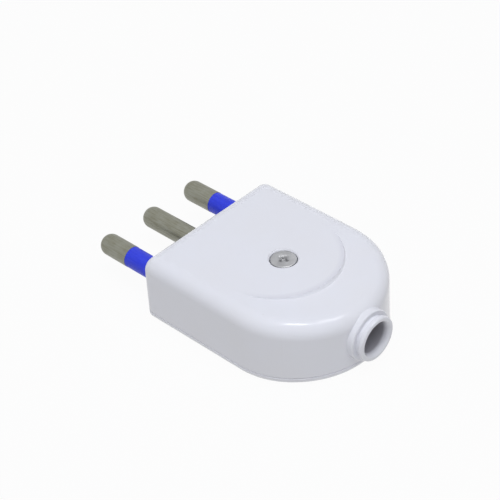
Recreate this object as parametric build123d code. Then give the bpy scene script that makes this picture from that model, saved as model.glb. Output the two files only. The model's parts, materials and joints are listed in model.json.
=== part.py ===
from build123d import *
import os
from math import asin, cos, radians, sin, sqrt, tan

# Round pins in one row, fixed by the socket that they enter
PIN_PITCH = 13.0
PIN_DIAMETER = 5.0
PIN_REACH = 19.0
PIN_TIP_ROUND = 2.2
PIN_NECK_RELIEF = 0.2
PIN_FLOAT = 0.18
SLEEVE_LENGTH = 10.0
SLEEVE_DIAMETER = 4.9
SLEEVE_WALL = 0.45

# Brass terminal block turned on the inner end of each pin
TERMINAL_WIDTH = 7.0
TERMINAL_HEIGHT = 6.6
TERMINAL_LENGTH = 9.5
TERMINAL_EDGE = 0.4
WIRE_HOLE_DIAMETER = 3.6
WIRE_HOLE_DEPTH = 7.4
TERMINAL_SCREW_FROM_END = 4.2
TERMINAL_SCREW_DIAMETER = 3.0
TERMINAL_SCREW_TIP_DEPTH = 2.3
TERMINAL_HEAD_DIAMETER = 4.8
TERMINAL_HEAD_HEIGHT = 1.3
TERMINAL_HEAD_LIFT = 0.2

# Moulded body in plan: straight sides, two corner arcs and a crown arc at the rear
TERMINAL_SIDE_ROOM = 1.0
STRAIGHT_LENGTH = 28.1
CORNER_ARC_INSET = 2.3
CROWN_RISE = 1.2
FRONT_CORNER_RADIUS = 2.2

# Moulded body in height, measured from the pin axis
BODY_BELOW = 7.0
BODY_ABOVE = 8.7
DRAFT_ANGLE = 0.8
TOP_EDGE_RADIUS = 3.4
BOTTOM_EDGE_RADIUS = 1.4
LID_THICKNESS = 1.7
PARTING_BEVEL = 0.2

# The flat pad round the screw and the roof that falls away behind it
PAD_SIDE_MARGIN = 5.1
PAD_AHEAD_OF_SCREW = 2.0
PAD_STEP = 0.55
PAD_FLANK_ANGLE = 40.0
ROOF_SLOPE_LIMIT = 25.0

# Walls of the hollow cover
SIDE_WALL = 1.8
FRONT_WALL = 3.0
ROOF = 2.0
RIB = 1.2
ROOT = 0.5

# Cradle ribs that keep the terminals apart
CRADLE_RIB_SPACING = 4.6
RIB_CLEARANCE = 0.3

# Lid rim, hold-down rib and screw boss
RIM_THICKNESS = 1.1
RIM_HEIGHT = 1.5
HOLD_DOWN_RIB_SETBACK = 0.5
LID_BOSS_HEIGHT = 3.9
LID_BOSS_DIAMETER = 8.8

# Assembly screw and its hexagon nut
SCREW_SETBACK = 23.5
SCREW_DIAMETER = 3.0
SCREW_HEAD_DIAMETER = 5.8
SCREW_HEAD_HEIGHT = 1.9
SCREW_HEAD_CROWN = 0.35
SCREW_HEAD_RECESS = 0.15
CROSS_SPAN = 2.7
CROSS_WIDTH = 0.7
CROSS_DEPTH = 0.7
DRIVER_SLOT_WIDTH = 0.7
DRIVER_SLOT_DEPTH = 0.7
COUNTERBORE_DIAMETER = 6.0
COUNTERBORE_BEVEL = 0.3
TOWER_HEAD_DIAMETER = 8.8
TOWER_HEAD_DEPTH = 4.3
TOWER_DIAMETER = 6.8
NUT_ACROSS_FLATS = 5.5
NUT_THICKNESS = 2.4
NUT_DEPTH_IN_FLOOR = 1.3

# Cable outlet collar, on an axis of its own above the pin axis
OUTLET_RISE = 0.5
OUTLET_BORE_DIAMETER = 7.4
OUTLET_MOUTH_DIAMETER = 8.4
OUTLET_FLARE_LENGTH = 1.0
FLANGE_DIAMETER = 11.5
FLANGE_REACH = 0.75
GROOVE_DIAMETER = 9.3
GROOVE_LENGTH = 0.85
LIP_DIAMETER = 10.1
LIP_LENGTH = 1.0
LIP_ROUND = 0.4
COLLAR_EDGE_BREAK = 0.15
INNER_SLEEVE_DIAMETER = 10.6
INNER_SLEEVE_LENGTH = 1.2

# Cable clamp: a saddle in the roof and a bar held by two screws
CLAMP_SETBACK = 36.0
CLAMP_SCREW_SPACING = 14.6
CLAMP_BAR_LENGTH = 20.4
CLAMP_BAR_WIDTH = 5.4
CLAMP_BAR_THICKNESS = 1.7
CLAMP_BAR_DISH = 0.5
CLAMP_BOSS_DIAMETER = 5.2
CLAMP_SCREW_DIAMETER = 2.2
CLAMP_SCREW_LENGTH = 8.0
CLAMP_HEAD_DIAMETER = 4.2
CLAMP_HEAD_HEIGHT = 1.2
CLAMP_HEAD_CLEARANCE = 0.6
SADDLE_WIDTH = 8.4
SADDLE_DIAMETER = 7.2
SADDLE_RIB_SPACING = 2.4

# Clearances between pieces
SEAT_GAP = 0.05
SLIDE_GAP = 0.1
SCREW_HOLE_GAP = 0.2

# Heights and places that follow from the sizes above
BODY_WIDTH = 2 * (PIN_PITCH + TERMINAL_WIDTH / 2 + TERMINAL_SIDE_ROOM + SIDE_WALL)
FLOOR_Z = -BODY_BELOW
PARTING_Z = FLOOR_Z + LID_THICKNESS
TOP_Z = BODY_ABOVE
CEILING_Z = TOP_Z - ROOF
ROOT_Z = CEILING_Z + ROOT
CORNER_ARC_RADIUS = BODY_WIDTH / 2 - CORNER_ARC_INSET
REAR_RISE = CORNER_ARC_RADIUS + CROWN_RISE
CROWN_ARC_RADIUS = (CORNER_ARC_INSET ** 2 + REAR_RISE ** 2 - CORNER_ARC_RADIUS ** 2) / (2 * CROWN_RISE)
BODY_LENGTH = STRAIGHT_LENGTH + REAR_RISE
PAD_RADIUS = BODY_WIDTH / 2 - PAD_SIDE_MARGIN
PAD_CENTRE_Y = -SCREW_SETBACK + PAD_AHEAD_OF_SCREW
ROOF_FALL_RADIUS = (PAD_RADIUS ** 2 + PAD_STEP ** 2) / (2 * PAD_STEP)
TERMINAL_FRONT_Y = -FRONT_WALL - SEAT_GAP
TERMINAL_REAR_Y = TERMINAL_FRONT_Y - TERMINAL_LENGTH
HOLD_DOWN_RIB_Y = TERMINAL_FRONT_Y - HOLD_DOWN_RIB_SETBACK - RIB / 2
CRADLE_FIRST_Y = HOLD_DOWN_RIB_Y - RIB - RIB_CLEARANCE
CRADLE_BOTTOM_Z = PARTING_Z + RIM_HEIGHT + RIB_CLEARANCE
TERMINAL_SCREW_Y = TERMINAL_REAR_Y + TERMINAL_SCREW_FROM_END
HEAD_SEAT_Z = TOP_Z - SCREW_HEAD_RECESS - SCREW_HEAD_HEIGHT
LID_BOSS_TOP_Z = PARTING_Z + LID_BOSS_HEIGHT
NUT_SEAT_Z = FLOOR_Z + NUT_DEPTH_IN_FLOOR + NUT_THICKNESS
FLANGE_END_Y = -BODY_LENGTH - FLANGE_REACH
GROOVE_END_Y = FLANGE_END_Y - GROOVE_LENGTH
LIP_END_Y = GROOVE_END_Y - LIP_LENGTH
INNER_SLEEVE_Y = -BODY_LENGTH + SIDE_WALL + INNER_SLEEVE_LENGTH
CLAMP_BAR_FLOOR_Z = PARTING_Z + CLAMP_HEAD_CLEARANCE + CLAMP_HEAD_HEIGHT
CLAMP_BAR_TOP_Z = CLAMP_BAR_FLOOR_Z + CLAMP_BAR_THICKNESS
PIN_PLACES = {"left": -PIN_PITCH, "earth": 0.0, "right": PIN_PITCH}
CLAMP_PLACES = {"left": -CLAMP_SCREW_SPACING / 2, "right": CLAMP_SCREW_SPACING / 2}
BEYOND = 5.0


def cylinder_z(diameter, low, high, x=0.0, y=0.0):
    """Upright round bar between two heights."""
    bar = Cylinder(diameter / 2, high - low, align=(Align.CENTER, Align.CENTER, Align.MIN))
    return Pos(x, y, low) * bar


def block(width, depth, low, high, x=0.0, y=0.0):
    """Rectangular block centred in plan at x and y, between two heights."""
    slab = Box(width, depth, high - low, align=(Align.CENTER, Align.CENTER, Align.MIN))
    return Pos(x, y, low) * slab


def turned(points):
    """Solid turned about the Y axis from radius and Y pairs."""
    return revolve(make_face(Polyline(points, close=True)), Axis.Y)


def outline(inset):
    """Plan of the body, open past the pin face, drawn inwards by an inset."""
    half = BODY_WIDTH / 2 - inset
    crown_y = -BODY_LENGTH + CROWN_ARC_RADIUS
    corner_radius = CORNER_ARC_RADIUS - inset
    crown_radius = CROWN_ARC_RADIUS - inset
    turn = asin((CROWN_ARC_RADIUS - REAR_RISE) / (CROWN_ARC_RADIUS - CORNER_ARC_RADIUS))
    join = (crown_radius * cos(turn), crown_y - crown_radius * sin(turn))
    middle_x = CORNER_ARC_INSET + corner_radius * cos(turn / 2)
    middle_y = -STRAIGHT_LENGTH - corner_radius * sin(turn / 2)
    left = (-half, -STRAIGHT_LENGTH)
    right = (half, -STRAIGHT_LENGTH)
    front = Polyline(right, (half, BEYOND), (-half, BEYOND), left)
    corner_left = ThreePointArc(left, (-middle_x, middle_y), (-join[0], join[1]))
    crown = ThreePointArc((-join[0], join[1]), (0, crown_y - crown_radius), join)
    corner_right = ThreePointArc(join, (middle_x, middle_y), right)
    return make_face([front, corner_left, crown, corner_right])


def above_roof(top):
    """Everything above a roof that is flat at the front and falls in one large arc at the rear."""
    def point(distance):
        drop = ROOF_FALL_RADIUS - sqrt(ROOF_FALL_RADIUS ** 2 - distance ** 2)
        return (PAD_CENTRE_Y - distance, top - drop)
    reach = BODY_LENGTH + PAD_CENTRE_Y + BEYOND
    fall = ThreePointArc(point(0), point(reach / 2), point(reach))
    sky = top + ROOF + BEYOND
    rest = Polyline(point(reach), (PAD_CENTRE_Y - reach, sky), (2 * BEYOND, sky), (2 * BEYOND, top), point(0))
    return extrude(Plane.YZ * make_face([fall, rest]), BODY_WIDTH, both=True)


def rolled(form, radius):
    """Round the edge between the roof and the walls, or leave it sharp at radius 0."""
    if radius == 0:
        return form
    roof = [f for f in form.faces() if f.normal_at().Z > cos(radians(ROOF_SLOPE_LIMIT))]
    edges = [e for f in roof for e in f.edges()
             if abs(e.center().X) > ROOT or abs(e.center().Y - PAD_CENTRE_Y) > ROOT]
    return fillet(edges, radius)


def body_form(inset, front_y, low, top, radius):
    """Drafted D-shaped block with a flat pin face, a falling roof and a rolled roof edge."""
    widening = (TOP_Z - low) / 2 * tan(radians(DRAFT_ANGLE))
    base = Pos(0, 0, low) * outline(inset - widening)
    form = extrude(base, top + BEYOND - low, taper=DRAFT_ANGLE)
    form -= Pos(0, front_y, low) * Box(4 * BODY_WIDTH, 4 * BODY_LENGTH, 4 * BODY_WIDTH,
                                       align=(Align.CENTER, Align.MIN, Align.CENTER))
    form -= above_roof(top)
    return rolled(form, radius)


def raised_pad():
    """Round pad whose flank slopes, standing out of the falling roof."""
    foot = PAD_RADIUS + 2 * PAD_STEP * tan(radians(PAD_FLANK_ANGLE))
    low = TOP_Z - 2 * PAD_STEP
    cone = Cone(foot, PAD_RADIUS, 2 * PAD_STEP, align=(Align.CENTER, Align.CENTER, Align.MIN))
    rear = Pos(0, -BODY_LENGTH, 0) * Box(2 * BODY_WIDTH, 2 * BODY_LENGTH, 4 * BODY_ABOVE)
    return (Pos(0, PAD_CENTRE_Y, low) * cone) & (Pos(0, PAD_CENTRE_Y, 0) * rear)


def front_corners_rounded(form):
    """Round the two upright corners between the pin face and the sides."""
    upright = [e for e in form.edges() if abs(e.center().X) > BODY_WIDTH / 3
               and abs(e.center().Y) < TOP_EDGE_RADIUS / 2]
    return fillet(upright, FRONT_CORNER_RADIUS)


def outer_cover():
    """Outside of the cover, with its rolled roof edge and raised pad."""
    form = body_form(0, 0, FLOOR_Z, TOP_Z, TOP_EDGE_RADIUS)
    return (front_corners_rounded(form) + raised_pad()) & above_parting()


def outer_lid():
    """Outside of the lid, with its rounded floor edge."""
    form = front_corners_rounded(body_form(0, 0, FLOOR_Z, TOP_Z, 0))
    floor = form.faces().sort_by(Axis.Z)[0]
    return fillet(floor.edges(), BOTTOM_EDGE_RADIUS) - above_parting()


def cavity():
    """Hollow inside the cover, open at the parting plane."""
    corner = TOP_EDGE_RADIUS - SIDE_WALL
    return body_form(SIDE_WALL, -FRONT_WALL, PARTING_Z - BEYOND, CEILING_Z, corner)


def screw_tower():
    """Column under the counterbore that reaches down to the boss on the lid."""
    head = cylinder_z(TOWER_HEAD_DIAMETER, TOP_Z - TOWER_HEAD_DEPTH, ROOT_Z, 0, -SCREW_SETBACK)
    stem = cylinder_z(TOWER_DIAMETER, LID_BOSS_TOP_Z + SEAT_GAP, ROOT_Z, 0, -SCREW_SETBACK)
    fin = block(RIB, TERMINAL_LENGTH, 0, ROOT_Z, 0, -SCREW_SETBACK)
    return head + stem + fin


def screw_hole():
    """Counterbore for the screw head, its beveled mouth and the shank hole."""
    bevel = Cone(COUNTERBORE_DIAMETER / 2, COUNTERBORE_DIAMETER / 2 + COUNTERBORE_BEVEL, COUNTERBORE_BEVEL,
                 align=(Align.CENTER, Align.CENTER, Align.MAX))
    shank = cylinder_z(SCREW_DIAMETER + 2 * SCREW_HOLE_GAP, FLOOR_Z, TOP_Z, 0, -SCREW_SETBACK)
    head = cylinder_z(COUNTERBORE_DIAMETER, HEAD_SEAT_Z, TOP_Z + BEYOND, 0, -SCREW_SETBACK)
    return head + shank + Pos(0, -SCREW_SETBACK, TOP_Z) * bevel


def cradle_rib(y):
    """Cross rib under the roof with a notch over each terminal block."""
    width = 2 * PIN_PITCH + TERMINAL_WIDTH + 2 * SIDE_WALL
    rib = block(width, RIB, CRADLE_BOTTOM_Z, ROOT_Z, 0, y)
    for x in PIN_PLACES.values():
        notch = TERMINAL_WIDTH + 2 * SLIDE_GAP
        rib -= block(notch, 2 * RIB, PARTING_Z, TERMINAL_HEIGHT / 2 + SEAT_GAP, x, y)
    return rib


def clamp_saddle():
    """Two ribs under the roof, hollowed to the cable, on the outlet axis."""
    saddle = Part()
    for side in (-1, 1):
        y = -CLAMP_SETBACK + side * SADDLE_RIB_SPACING / 2
        saddle += block(SADDLE_WIDTH, RIB, OUTLET_RISE, ROOT_Z, 0, y)
    cable = Pos(0, 0, OUTLET_RISE) * Rot(90, 0, 0) * Cylinder(SADDLE_DIAMETER / 2, 4 * BODY_LENGTH)
    return saddle - cable


def clamp_boss(x):
    """Boss under the roof that carries one end of the clamp bar."""
    return cylinder_z(CLAMP_BOSS_DIAMETER, CLAMP_BAR_TOP_Z, ROOT_Z, x, -CLAMP_SETBACK)


def clamp_pilot_hole(x):
    """Blind hole for a self-tapping clamp screw."""
    diameter = CLAMP_SCREW_DIAMETER + 2 * SEAT_GAP
    top = CLAMP_BAR_FLOOR_Z + CLAMP_SCREW_LENGTH + SLIDE_GAP
    return cylinder_z(diameter, PARTING_Z, top, x, -CLAMP_SETBACK)


def outlet_collar():
    """Turned collar at the rear: flange, groove and rounded lip, with a short sleeve inside."""
    groove = GROOVE_DIAMETER / 2
    flange = FLANGE_DIAMETER / 2
    lip = LIP_DIAMETER / 2
    sleeve = INNER_SLEEVE_DIAMETER / 2
    inside = -BODY_LENGTH + SIDE_WALL / 2
    form = turned([(0, INNER_SLEEVE_Y), (sleeve, INNER_SLEEVE_Y), (sleeve, inside), (flange, inside),
                   (flange, FLANGE_END_Y), (groove, FLANGE_END_Y), (groove, GROOVE_END_Y),
                   (lip, GROOVE_END_Y), (lip, LIP_END_Y), (0, LIP_END_Y)])
    form = fillet(form.edges().sort_by(Axis.Y)[0], LIP_ROUND)
    rims = [e for e in form.edges().filter_by(GeomType.CIRCLE)
            if GROOVE_END_Y - 0.01 < e.center().Y < FLANGE_END_Y + 0.01 and e.radius > groove + 0.01]
    return Pos(0, 0, OUTLET_RISE) * chamfer(rims, COLLAR_EDGE_BREAK)


def outlet_bore():
    """Cable hole through the collar, flared at its mouth."""
    bore = OUTLET_BORE_DIAMETER / 2
    mouth = OUTLET_MOUTH_DIAMETER / 2
    throat = LIP_END_Y + OUTLET_FLARE_LENGTH
    wall = Polyline((bore, throat), (bore, INNER_SLEEVE_Y + ROOT), (0, INNER_SLEEVE_Y + ROOT),
                    (0, LIP_END_Y - BEYOND), (mouth, LIP_END_Y - BEYOND), (mouth, LIP_END_Y))
    flare = TangentArc((bore, throat), (mouth, LIP_END_Y), tangent=(0, -1))
    return Pos(0, 0, OUTLET_RISE) * revolve(make_face([wall, flare]), Axis.Y)


def pin_hole(x):
    """Hole in the front wall that a pin slides through from inside and floats in a little."""
    hole = Cylinder(PIN_DIAMETER / 2 + PIN_FLOAT, 2 * (FRONT_WALL + ROOT))
    return Pos(x, 0, 0) * Rot(90, 0, 0) * hole


def above_parting():
    """Half space that belongs to the cover."""
    return block(4 * BODY_WIDTH, 4 * BODY_LENGTH, PARTING_Z, PARTING_Z + 4 * BODY_WIDTH)


def bevel_parting(face):
    """Piece of a parting face, its outer edge broken so that a fine line shows."""
    return chamfer(face.outer_wire().edges(), PARTING_BEVEL)


def cover_shell():
    """Deep cover: walls, roof, screw tower, cradle ribs, clamp saddle and cable outlet."""
    body = outer_cover()
    shell = bevel_parting(body.faces().sort_by(Axis.Z)[0])
    shell -= cavity()
    inside = screw_tower() + clamp_saddle()
    for index in range(2):
        inside += cradle_rib(CRADLE_FIRST_Y - index * CRADLE_RIB_SPACING)
    for x in CLAMP_PLACES.values():
        inside += clamp_boss(x)
    shell += inside & body
    shell += outlet_collar()
    shell -= outlet_bore()
    shell -= screw_hole()
    for x in CLAMP_PLACES.values():
        shell -= clamp_pilot_hole(x)
    for x in PIN_PLACES.values():
        shell -= pin_hole(x)
    return shell


def lid_rim():
    """Low rim on the lid that enters the cover, opened where the collar sleeve reaches in."""
    outer_inset = SIDE_WALL + SLIDE_GAP
    top = PARTING_Z + RIM_HEIGHT
    front = -FRONT_WALL - SLIDE_GAP
    rim = body_form(outer_inset, front, PARTING_Z - ROOT, top, 0)
    inner_inset = outer_inset + RIM_THICKNESS
    rim -= body_form(inner_inset, front - RIM_THICKNESS, PARTING_Z - BEYOND, top + BEYOND, 0)
    passage = block(INNER_SLEEVE_DIAMETER + 2 * RIB_CLEARANCE, BODY_LENGTH, PARTING_Z, TOP_Z, 0, -BODY_LENGTH)
    return rim - passage


def hex_prism(across_flats, low, high):
    """Hexagonal prism round the assembly screw."""
    hexagon = RegularPolygon(across_flats / 2, 6, major_radius=False)
    return Pos(0, -SCREW_SETBACK, low) * extrude(hexagon, high - low)


def base_lid():
    """Shallow lid: floor plate, locating rim, hold-down rib and boss with a pocket for the nut."""
    lid = bevel_parting(outer_lid().faces().sort_by(Axis.Z)[-1])
    lid += lid_rim()
    rib_width = 2 * PIN_PITCH + TERMINAL_WIDTH
    lid += block(rib_width, RIB, PARTING_Z - ROOT, -TERMINAL_HEIGHT / 2 - SEAT_GAP, 0, HOLD_DOWN_RIB_Y)
    lid += cylinder_z(LID_BOSS_DIAMETER, PARTING_Z - ROOT, LID_BOSS_TOP_Z, 0, -SCREW_SETBACK)
    lid -= hex_prism(NUT_ACROSS_FLATS + 2 * SLIDE_GAP, FLOOR_Z - BEYOND, NUT_SEAT_Z)
    lid -= cylinder_z(SCREW_DIAMETER + 2 * SCREW_HOLE_GAP, FLOOR_Z, TOP_Z, 0, -SCREW_SETBACK)
    return lid


def cross_recess(top):
    """Cross for a screwdriver, pointed downwards, sunk from a given height."""
    arms = Box(CROSS_SPAN, CROSS_WIDTH, 2 * CROSS_DEPTH) + Box(CROSS_WIDTH, CROSS_SPAN, 2 * CROSS_DEPTH)
    point = Cone(CROSS_WIDTH / 2, CROSS_SPAN / 2, CROSS_DEPTH, align=(Align.CENTER, Align.CENTER, Align.MAX))
    return Pos(0, 0, top) * (arms & point)


def driver_slot(diameter, low):
    """Straight slot across a head of that diameter, cut upwards from its underside."""
    return block(2 * diameter, DRIVER_SLOT_WIDTH, low - BEYOND, low + DRIVER_SLOT_DEPTH)


def assembly_screw():
    """Cheese-head screw with a cross recess that draws the lid to the cover."""
    top = HEAD_SEAT_Z + SCREW_HEAD_HEIGHT
    head = cylinder_z(SCREW_HEAD_DIAMETER, HEAD_SEAT_Z, top)
    head = fillet(head.edges().sort_by(Axis.Z)[-1], SCREW_HEAD_CROWN) - cross_recess(top)
    head = Pos(0, -SCREW_SETBACK, 0) * head
    shank = cylinder_z(SCREW_DIAMETER, FLOOR_Z + NUT_DEPTH_IN_FLOOR, HEAD_SEAT_Z, 0, -SCREW_SETBACK)
    shank = chamfer(shank.edges().sort_by(Axis.Z)[0], SCREW_HEAD_CROWN)
    return head + shank


def assembly_nut():
    """Hexagon nut held in the pocket under the lid."""
    low = NUT_SEAT_Z - NUT_THICKNESS
    nut = hex_prism(NUT_ACROSS_FLATS, low, NUT_SEAT_Z - SEAT_GAP)
    return nut - cylinder_z(SCREW_DIAMETER + 2 * SEAT_GAP, low, NUT_SEAT_Z, 0, -SCREW_SETBACK)


def terminal_block():
    """Milled block behind a pin, with a wire hole at its rear and a tapped cross hole below."""
    form = Box(TERMINAL_WIDTH, TERMINAL_LENGTH, TERMINAL_HEIGHT,
               align=(Align.CENTER, Align.MAX, Align.CENTER))
    form = chamfer(form.edges().filter_by(Axis.Y), TERMINAL_EDGE)
    wire = Rot(90, 0, 0) * Cylinder(WIRE_HOLE_DIAMETER / 2, 2 * WIRE_HOLE_DEPTH)
    form -= Pos(0, -TERMINAL_LENGTH, 0) * wire
    return Pos(0, TERMINAL_FRONT_Y, 0) * form - cylinder_z(
        TERMINAL_SCREW_DIAMETER + 2 * SEAT_GAP, -TERMINAL_HEIGHT, 0, 0, TERMINAL_SCREW_Y)


def pin(sleeved):
    """Round contact pin with a rounded tip, waisted in the wall and for its sleeve if it has one."""
    radius = PIN_DIAMETER / 2
    neck = radius - PIN_NECK_RELIEF
    core = SLEEVE_DIAMETER / 2 - SLEEVE_WALL - SEAT_GAP / 2
    root_y = TERMINAL_FRONT_Y - TERMINAL_EDGE
    bare_y = SLEEVE_LENGTH if sleeved else 0.0
    waist = [(core, 0), (core, bare_y)] if sleeved else []
    inner = [(0, root_y), (neck, root_y), (neck, 0)]
    rod = turned(inner + waist + [(radius, bare_y), (radius, PIN_REACH), (0, PIN_REACH)])
    rod = fillet(rod.edges().sort_by(Axis.Y)[-1], PIN_TIP_ROUND)
    return rod + terminal_block()


def pin_sleeve():
    """Insulating sleeve on the stretch of a live pin next to the body."""
    outer = SLEEVE_DIAMETER / 2
    inner = outer - SLEEVE_WALL
    return turned([(inner, 0), (outer, 0), (outer, SLEEVE_LENGTH), (inner, SLEEVE_LENGTH)])


def terminal_screw():
    """Screw that clamps a wire in a terminal block, entered from the lid side."""
    seat = -TERMINAL_HEIGHT / 2 - TERMINAL_HEAD_LIFT
    head = cylinder_z(TERMINAL_HEAD_DIAMETER, seat - TERMINAL_HEAD_HEIGHT, seat)
    head = chamfer(head.edges().sort_by(Axis.Z)[0], SCREW_HEAD_CROWN)
    head -= driver_slot(TERMINAL_HEAD_DIAMETER, seat - TERMINAL_HEAD_HEIGHT)
    head = Pos(0, TERMINAL_SCREW_Y, 0) * head
    tip = -TERMINAL_HEIGHT / 2 + TERMINAL_SCREW_TIP_DEPTH
    return head + cylinder_z(TERMINAL_SCREW_DIAMETER, seat, tip, 0, TERMINAL_SCREW_Y)


def clamp_bar():
    """Bar under the cable, dished along the middle and drilled for two screws."""
    middle = (CLAMP_BAR_FLOOR_Z + CLAMP_BAR_TOP_Z) / 2
    bar = Box(CLAMP_BAR_LENGTH, CLAMP_BAR_WIDTH, CLAMP_BAR_THICKNESS)
    bar = fillet(bar.edges().filter_by(Axis.Z), CLAMP_BAR_WIDTH / 2 - SEAT_GAP)
    bar = Pos(0, -CLAMP_SETBACK, middle) * bar
    sag = (SADDLE_WIDTH ** 2 / 4 + CLAMP_BAR_DISH ** 2) / (2 * CLAMP_BAR_DISH)
    dish = Pos(0, -CLAMP_SETBACK, CLAMP_BAR_TOP_Z - CLAMP_BAR_DISH + sag) * Rot(90, 0, 0)
    bar -= dish * Cylinder(sag, 2 * CLAMP_BAR_WIDTH)
    for x in CLAMP_PLACES.values():
        hole = CLAMP_SCREW_DIAMETER + 2 * SCREW_HOLE_GAP
        bar -= cylinder_z(hole, CLAMP_BAR_FLOOR_Z, CLAMP_BAR_TOP_Z, x, -CLAMP_SETBACK)
    return bar


def clamp_screw(x):
    """Self-tapping screw through one end of the clamp bar."""
    low = CLAMP_BAR_FLOOR_Z - CLAMP_HEAD_HEIGHT
    head = cylinder_z(CLAMP_HEAD_DIAMETER, low, CLAMP_BAR_FLOOR_Z)
    head = chamfer(head.edges().sort_by(Axis.Z)[0], SCREW_HEAD_CROWN)
    head -= driver_slot(CLAMP_HEAD_DIAMETER, low)
    head = Pos(x, -CLAMP_SETBACK, 0) * head
    top = CLAMP_BAR_FLOOR_Z + CLAMP_SCREW_LENGTH
    shank = cylinder_z(CLAMP_SCREW_DIAMETER, CLAMP_BAR_FLOOR_Z, top, x, -CLAMP_SETBACK)
    shank = chamfer(shank.edges().sort_by(Axis.Z)[-1], CLAMP_SCREW_DIAMETER / 4)
    return head + shank


def pieces():
    """Every separate piece of the plug by its name."""
    named = {"cover_shell": cover_shell(), "base_lid": base_lid(), "cable_clamp_bar": clamp_bar(),
             "assembly_screw": assembly_screw(), "assembly_nut": assembly_nut()}
    for side, x in PIN_PLACES.items():
        sleeved = side != "earth"
        name = "live_pin_" + side if sleeved else "earth_pin"
        named[name] = Pos(x, 0, 0) * pin(sleeved)
        named["terminal_screw_" + side] = Pos(x, 0, 0) * terminal_screw()
        if sleeved:
            named["pin_sleeve_" + side] = Pos(x, 0, 0) * pin_sleeve()
    for side, x in CLAMP_PLACES.items():
        named["clamp_screw_" + side] = clamp_screw(x)
    return named


def main():
    """Write one STEP file for each piece."""
    os.makedirs("parts", exist_ok=True)
    for name, piece in pieces().items():
        export_step(piece, "parts/" + name + ".step")


main()
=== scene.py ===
"""Finishes, screws, light and camera for a flat three-pin plug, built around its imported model."""

import json
import logging
import math
from dataclasses import dataclass, field
from enum import Enum

import bmesh
import bpy
from mathutils import Matrix, Vector

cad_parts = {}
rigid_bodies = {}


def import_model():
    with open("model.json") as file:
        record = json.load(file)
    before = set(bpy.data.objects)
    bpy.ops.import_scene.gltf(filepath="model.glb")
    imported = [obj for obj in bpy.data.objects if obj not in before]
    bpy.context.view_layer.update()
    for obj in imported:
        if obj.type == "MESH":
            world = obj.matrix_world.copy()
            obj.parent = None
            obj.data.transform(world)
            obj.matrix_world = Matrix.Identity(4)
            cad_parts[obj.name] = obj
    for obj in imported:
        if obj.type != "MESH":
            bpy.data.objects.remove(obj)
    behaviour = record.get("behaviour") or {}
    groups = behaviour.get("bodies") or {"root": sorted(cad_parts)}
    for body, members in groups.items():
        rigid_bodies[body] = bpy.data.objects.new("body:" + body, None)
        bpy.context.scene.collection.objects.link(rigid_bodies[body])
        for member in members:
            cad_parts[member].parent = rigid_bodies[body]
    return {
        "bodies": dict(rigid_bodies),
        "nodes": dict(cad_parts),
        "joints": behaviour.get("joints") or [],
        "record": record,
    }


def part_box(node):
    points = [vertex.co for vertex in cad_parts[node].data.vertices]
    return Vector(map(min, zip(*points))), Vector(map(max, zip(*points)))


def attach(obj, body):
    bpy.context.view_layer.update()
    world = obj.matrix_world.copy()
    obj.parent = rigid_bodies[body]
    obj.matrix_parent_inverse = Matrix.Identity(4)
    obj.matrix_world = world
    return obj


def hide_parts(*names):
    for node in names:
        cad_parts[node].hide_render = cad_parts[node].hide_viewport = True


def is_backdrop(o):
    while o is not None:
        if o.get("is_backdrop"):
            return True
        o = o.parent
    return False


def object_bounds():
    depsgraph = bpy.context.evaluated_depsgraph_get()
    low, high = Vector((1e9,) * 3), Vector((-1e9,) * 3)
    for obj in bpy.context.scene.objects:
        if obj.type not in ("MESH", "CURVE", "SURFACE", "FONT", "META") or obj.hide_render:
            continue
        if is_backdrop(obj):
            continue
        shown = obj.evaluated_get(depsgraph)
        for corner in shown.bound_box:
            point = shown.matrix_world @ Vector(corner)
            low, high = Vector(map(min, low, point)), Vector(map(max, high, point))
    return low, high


LOG = logging.getLogger("flat_plug")
MM = 0.001
CREASE = math.radians(22.0)
ROOT_BODY = "root"

NodeTree = bpy.types.NodeTree
Socket = bpy.types.NodeSocket
Material = bpy.types.Material


class Slot(Enum):
    """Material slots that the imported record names."""

    MOULDING = "white_moulding"
    PIN = "pin_metal"
    SLEEVE = "blue_sleeve"
    STEEL = "plated_steel"
    CLAMP = "clamp_plastic"


def linear(red: int, green: int, blue: int) -> tuple[float, float, float, float]:
    """Turn an sRGB colour of 0 to 255 into scene-linear values.

    Args:
        red: Red value.
        green: Green value.
        blue: Blue value.

    Returns:
        The colour with an alpha of one.
    """
    def channel(value: int) -> float:
        """Decode one sRGB channel."""
        share = value / 255
        return share / 12.92 if share <= 0.04045 else ((share + 0.055) / 1.055) ** 2.4
    return channel(red), channel(green), channel(blue), 1.0


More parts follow.
